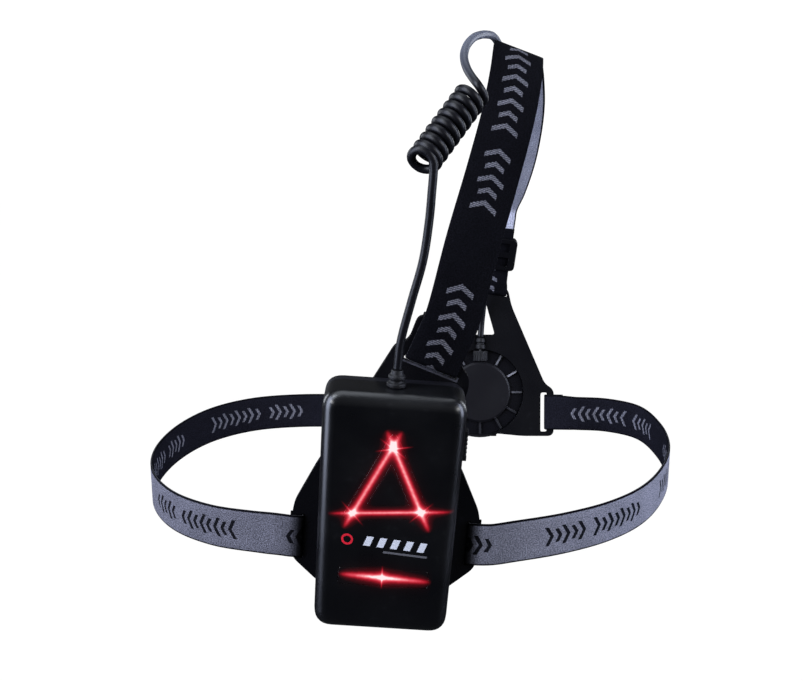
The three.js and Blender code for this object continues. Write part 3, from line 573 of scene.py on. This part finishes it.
materials = {
    "black_plastic": moulded_plastic("black_plastic", **BLACK_MOULDING).material,
    "back_bracket": back_bracket("back_bracket"),
    "case_plastic": moulded_plastic("case_plastic", (0.005, 0.005, 0.0072), 0.36, 0.015).material,
    "lamp_back": lamp_back("lamp_back"),
    "lit_case": lit_case("lit_case"),
    "black_rubber": simple("black_rubber", (0.003, 0.003, 0.0038), 0.5, 0.015, Specular_IOR_Level=0.25),
    "cable_jacket": cable_jacket("cable_jacket"),
    "steel": simple("steel", (0.62, 0.62, 0.64), 0.28, 0.003, Metallic=1.0),
    "led": simple("led", (0.9, 0.75, 0.5), 0.3, Emission_Color=(1, 0.25, 0.2, 1), Emission_Strength=2.0),
    "lamp_diode": simple("lamp_diode", (0.9, 0.78, 0.22), 0.35, 0.004),
    "circuit_board": simple("circuit_board", (0.01, 0.12, 0.06), 0.35, 0.006),
    "cell_wrap": simple("cell_wrap", (0.03, 0.12, 0.42), 0.3, 0.004),
    "reflector": simple("reflector", (0.86, 0.86, 0.88), 0.08, Metallic=1.0),
    "lens": simple("lens", (0.95, 0.97, 0.98), 0.04, Transmission_Weight=1.0, IOR=1.49),
    "grey_left": webbing("grey_left", LEFT_SHADED_GREY, DARK, LEFT_RUN, CHEST_WIDTH / 2, CHEST_SHADE),
    "black_left": webbing("black_left", FAR_BLACK, MOTIF_GREY, LEFT_RUN, CHEST_WIDTH / 2, CHEST_SHADE),
    "grey_right": webbing("grey_right", GREY, DARK, RIGHT_RUN, CHEST_WIDTH / 2, CHEST_SHADE),
    "black_right": webbing("black_right", FAR_BLACK, MOTIF_GREY, RIGHT_RUN, CHEST_WIDTH / 2, CHEST_SHADE),
    "black_shoulder": webbing("black_shoulder", DARK, SHOULDER_MOTIF, SHOULDER_RUN,
                              SHOULDER_WIDTH / 2, SHOULDER_SHADE),
    "grey_shoulder": webbing("grey_shoulder", PALE_GREY, DARK, SHOULDER_RUN,
                             SHOULDER_WIDTH / 2, SHOULDER_SHADE),
    "selvedge": simple("selvedge", DARK, 0.85, 0.03),
}


# ---------------------------------------------------------------- webbing straps
PLATE, STRAP_THICK, GAP = 3.0, 1.3, 0.35
OVER = STRAP_THICK / 2 + GAP


def wrap(edge, y0, y1):
    """The strap's way round a bar whose faces are at y0 and y1: in along y1 and out along y0."""
    out = math.copysign(1, y1 - y0)
    near = OVER * math.sqrt(0.5)
    return [
        (edge + 1.5, y1 + out * OVER), (edge, y1 + out * OVER), (edge - near, y1 + out * near),
        (edge - OVER, y1), (edge - OVER, y0), (edge - near, y0 - out * near),
        (edge, y0 - out * OVER), (edge + 1.5, y0 - out * OVER),
    ]


def in_group(group, points, across):
    """Keys in a turned group: each is a point and the direction across the strap there."""
    direction = (group.to_3x3() @ Vector(across)).normalized()
    return [(group @ Vector(p), direction) for p in points]


def make_strap(name, node, keys, width, materials_used):
    """A strap through the keys, each a point and the direction across the strap there.

    materials_used holds those of the side that faces along x across, of the other side and of the edges.
    """
    position = catmull_rom([at for at, _ in keys])
    spans = len(keys) - 1
    steps = spans * 10
    profile = [-1, -0.985, -0.95, -0.7, -0.35, 0, 0.35, 0.7, 0.95, 0.985, 1]
    thickness = [0.35, 0.72, 0.95, 1, 1, 1, 1, 1, 0.95, 0.72, 0.35]
    upper = list(zip(profile, thickness))
    ring = upper + [(s, -k) for s, k in reversed(upper)]
    mesh = bmesh.new()
    along_layer = mesh.verts.layers.float.new("along")
    across_layer = mesh.verts.layers.float.new("across")
    rings, walked, previous = [], 0.0, position(0)
    for i in range(steps + 1):
        t = i / steps
        centre = position(t)
        walked += (centre - previous).length
        previous = centre
        tangent = (position(min(t + 1e-3, 1)) - position(max(t - 1e-3, 0))).normalized()
        key = min(int(t * spans), spans - 1)
        across = keys[key][1].lerp(keys[key + 1][1], t * spans - key)
        across = (across - tangent * across.dot(tangent)).normalized()
        out = tangent.cross(across).normalized()
        verts = []
        for s, k in ring:
            vert = mesh.verts.new((centre + across * (s * width / 2) + out * (k * STRAP_THICK / 2)) * MM)
            vert[along_layer] = walked * MM
            vert[across_layer] = s * width / 2 * MM
            verts.append(vert)
        rings.append(verts)
    count, half = len(ring), len(profile)
    for a, b in zip(rings, rings[1:]):
        for j in range(count):
            n = (j + 1) % count
            face = mesh.faces.new((a[j], b[j], b[n], a[n]))
            face.material_index = 2 if j in (half - 1, count - 1) else (0 if j < half else 1)
    for verts in (rings[0], rings[-1]):
        mesh.faces.new(verts).material_index = 2
    bmesh.ops.recalc_face_normals(mesh, faces=mesh.faces)
    for face in mesh.faces:
        face.smooth = True
    data = bpy.data.meshes.new(name)
    mesh.to_mesh(data)
    mesh.free()
    for used in materials_used:
        data.materials.append(materials[used])
    strap = bpy.data.objects.new(name, data)
    bpy.context.scene.collection.objects.link(strap)
    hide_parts(node)
    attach(strap, "harness")
    return strap


BACK_LUG, BACK_SLOT_OUT, CHEST_LUG, CHEST_SLOT_OUT, CHEST_SLOT_Z = 44.3, 40.2, 45.6, 41.6, -12.4
LEFT_LOOP = [
    (-62, 1.5, 1.9), (-84, 11.5, 0.7), (-106, 30, 0), (-121, 56, 0), (-126.5, 88, 0), (-120.5, 127, 0),
    (-105, 157, 0), (-83, 174.5, 0), (-56, 181.3, 0), (-20, 181, 0), (3, 178.6, 0),
]
RIGHT_LOOP = [
    (62, -1.2, -1.9), (85, 4.8, -0.7), (109, 17, 0), (129, 36, 0), (145, 63, 0), (155.5, 95, 0),
    (157.5, 130, 0), (150.5, 161, 0), (134, 173.2, 0), (115, 176.2, 0),
]


def chest_strap_keys(side, loop):
    at_pack = [
        (45.4, 1.1), (BACK_LUG, OVER), *wrap(BACK_SLOT_OUT, -PLATE, 0),
        (BACK_LUG, -PLATE - OVER), (51, -3),
    ]
    at_chest = [
        (CHEST_LUG + 1, -OVER - 0.1), *wrap(CHEST_SLOT_OUT, PLATE, 0), (CHEST_LUG + 1, PLATE + OVER),
        (CHEST_LUG + 6, PLATE + OVER - 1),
    ]
    return [
        *in_group(PACK, [(side * x, y, side * 0.8) for x, y in at_pack], (0, 0, 1)),
        *[(Vector(p), Vector((0, 0, 1))) for p in loop],
        *in_group(CHEST, [(side * x, y, CHEST_SLOT_Z) for x, y in at_chest], (0, 0, 1)),
    ]


make_strap("strap_left", "chest_strap_left", chest_strap_keys(-1, LEFT_LOOP), CHEST_WIDTH,
           ("black_left", "grey_left", "selvedge"))
make_strap("strap_right", "chest_strap_right", chest_strap_keys(1, RIGHT_LOOP), CHEST_WIDTH,
           ("grey_right", "black_right", "selvedge"))

SHOULDER_ARCH = [
    ((40.3, 4, 143), (0.92, 0, -0.39)), ((50, 21, 172), (0.92, -0.03, -0.39)),
    ((57.5, 36, 196), (0.92, -0.06, -0.38)), ((61.5, 48, 212.5), (0.92, -0.1, -0.37)),
    ((64, 64, 223), (0.93, -0.12, -0.35)), ((66, 84, 219), (0.94, -0.12, -0.32)),
    ((69, 103, 209), (0.95, -0.1, -0.28)), ((72, 124, 194), (0.96, -0.1, -0.25)),
    ((73.4, 147, 177), (0.97, -0.1, -0.22)), ((72.7, 169, 157), (0.98, -0.08, -0.2)),
    ((69.4, 188, 137), (0.98, -0.06, -0.17)),
]
LANE = 0.95


def shoulder_strap_keys():
    def on_plate(group, x, z, tilt, rises):
        tilt = math.radians(tilt)
        sin, cos = math.sin(tilt), math.cos(tilt)
        return in_group(group, [(x - r * sin, y, z + r * cos) for r, y in rises], (cos, 0, sin))

    at_pack = [(22, OVER), (12, OVER), *wrap(1.25, -PLATE, 0), (12, -PLATE - OVER), (24, -PLATE - OVER)]
    down = [(27, LANE), (20.5, LANE), (10, LANE), (0, LANE), (-11, LANE), (-17, LANE + 1)]
    up = [(-18, -LANE - 2.4), (-11, -LANE), (0, -LANE), (16, -LANE)]
    return [
        *on_plate(PACK, *PACK_SLOT, PACK_SLOT_TILT, at_pack),
        *[(Vector(at), Vector(across)) for at, across in SHOULDER_ARCH],
        *in_group(KEEPER, [(0, y, z) for z, y in down], (1, 0, 0)),
        *on_plate(CHEST, *CHEST_SLOT, CHEST_SLOT_TILT, wrap(0.875, 0, PLATE)),
        *in_group(KEEPER, [(0, y, z) for z, y in up], (1, 0, 0)),
    ]


make_strap("strap_shoulder", "shoulder_strap", shoulder_strap_keys(), SHOULDER_WIDTH,
           ("grey_shoulder", "black_shoulder", "selvedge"))


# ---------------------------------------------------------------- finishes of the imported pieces
def finish_node(name, material, bevel):
    """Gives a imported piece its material, soft edges and smooth curves, without moving its points."""
    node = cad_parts[name]
    node.data.materials.clear()
    node.data.materials.append(material)
    bpy.context.view_layer.objects.active = node
    if node.data.has_custom_normals:
        bpy.ops.mesh.customdata_custom_splitnormals_clear()
    node.data.shade_smooth()
    weld = node.modifiers.new("weld", "WELD")
    weld.merge_threshold = 1e-6
    flat = node.modifiers.new("flat", "DECIMATE")
    flat.decimate_type = "DISSOLVE"
    flat.angle_limit = math.radians(0.5)
    soft = node.modifiers.new("soft", "BEVEL")
    soft.width = bevel * MM
    soft.segments = 2
    soft.limit_method = "ANGLE"
    soft.angle_limit = math.radians(32)
    soft.use_clamp_overlap = True
    node.modifiers.new("shade", "WEIGHTED_NORMAL").keep_sharp = True
    return node


FINISHES = {
    "back_bracket": ["back_plate"],
    "black_plastic": ["chest_plate", "cable_clamp", "lamp_bezel", "strap_keeper", "cell_cradle"],
    "case_plastic": ["pack_back_shell", "lamp_housing"],
    "lamp_back": ["lamp_base"],
    "lit_case": ["pack_front_shell", "triangle_light_guide", "bar_light_guide"],
    "black_rubber": ["usb_flap", "pack_button", "lamp_button", "pack_cable_gland", "lamp_cable_gland"],
    "steel": ["pack_screw_1", "pack_screw_2", "pack_screw_3", "pack_screw_4", "hinge_pin", "usb_socket"],
    "led": ["led_apex", "led_left", "led_right", "led_bar"],
    "lamp_diode": ["lamp_led"],
    "circuit_board": ["led_board", "charge_board"],
    "cell_wrap": ["battery_cell"],
    "reflector": ["lamp_reflector"],
    "lens": ["lamp_lens"],
}
SMALL_PIECES = ("steel", "led", "lens", "reflector")
BEVEL, SMALL_BEVEL = 0.25, 0.12
for finish, names in FINISHES.items():
    for node_name in names:
        finish_node(node_name, materials[finish], SMALL_BEVEL if finish in SMALL_PIECES else BEVEL)
cable.data.materials.append(materials["cable_jacket"])


# ---------------------------------------------------------------- floor and light
def stage_material(name):
    """A pale floor that lights nothing: it is dark to every ray but the camera's own."""
    paint = Paint(name, (0.02, 0.02, 0.02), 0.9)
    paint.set("Emission Color", (1, 1, 1, 1))
    paint.set("Emission Strength", paint.node("LightPath", "Is Camera Ray"))
    return paint.material


FLOOR_DROP = 0.8


def make_floor():
    """A floor well below the harness, so that a view from below it isn't cut off."""
    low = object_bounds()[0]
    mesh = bmesh.new()
    bmesh.ops.create_grid(mesh, x_segments=1, y_segments=1, size=6)
    data = bpy.data.meshes.new("floor")
    mesh.to_mesh(data)
    mesh.free()
    data.materials.append(stage_material("floor"))
    floor = bpy.data.objects.new("floor", data)
    floor.location = (0, 0, low.z - FLOOR_DROP)
    bpy.context.scene.collection.objects.link(floor)


def area_light(name, place, target, size, power, color):
    data = bpy.data.lights.new(name, "AREA")
    data.shape = "RECTANGLE"
    data.size, data.size_y = size
    data.energy = power
    data.color = color
    light = bpy.data.objects.new(name, data)
    light.location = place
    light.rotation_mode = "QUATERNION"
    light.rotation_quaternion = (Vector(target) - Vector(place)).to_track_quat("-Z", "Y")
    bpy.context.scene.collection.objects.link(light)


def make_world():
    world = bpy.data.worlds.new("studio")
    world.use_nodes = True
    nodes, links = world.node_tree.nodes, world.node_tree.links
    background = nodes["Background"]
    ray = nodes.new("ShaderNodeLightPath")
    level = nodes.new("ShaderNodeMapRange")
    level.inputs[3].default_value = 0.05
    level.inputs[4].default_value = 1.05
    links.new(ray.outputs["Is Camera Ray"], level.inputs[0])
    links.new(level.outputs[0], background.inputs["Strength"])
    background.inputs["Color"].default_value = (1, 1, 1, 1)
    bpy.context.scene.world = world


make_floor()
make_world()
# name, place, what it faces, width and height, watts, colour
LIGHTS = [
    ("left", (-0.9, -0.3, 0.3), (0, 0.05, 0.05), (0.6, 1.3), 22, (0.7, 0.77, 1)),
    ("right", (0.95, -0.2, 0.3), (0, 0.05, 0.05), (0.4, 1.2), 14, (0.7, 0.77, 1)),
    ("top", (-0.1, 0.2, 1.2), (0, 0.1, 0), (1.2, 0.7), 6, (0.84, 0.9, 1)),
    ("loop", (-0.25, -0.15, 0.55), (0.04, 0.04, 0.225), (0.2, 0.2), 1.3, (0.84, 0.9, 1)),
    ("behind_left", (-1.15, 0.95, 0.3), (0, 0.1, 0.05), (0.5, 0.9), 7, (0.86, 0.91, 1)),
    ("behind_right", (1.15, 0.95, 0.3), (0, 0.1, 0.05), (0.5, 0.9), 7, (0.86, 0.91, 1)),
    ("front_left", (-1.25, -1.05, 0.75), (0, 0, 0.05), (0.7, 0.7), 14, (0.97, 0.98, 1)),
    ("front_right", (1.25, -1.05, 0.75), (0, 0, 0.05), (0.7, 0.7), 14, (0.97, 0.98, 1)),
]
for light in LIGHTS:
    area_light(*light)

bpy.context.scene.view_settings.view_transform = "Standard"
bpy.context.view_layer.update()
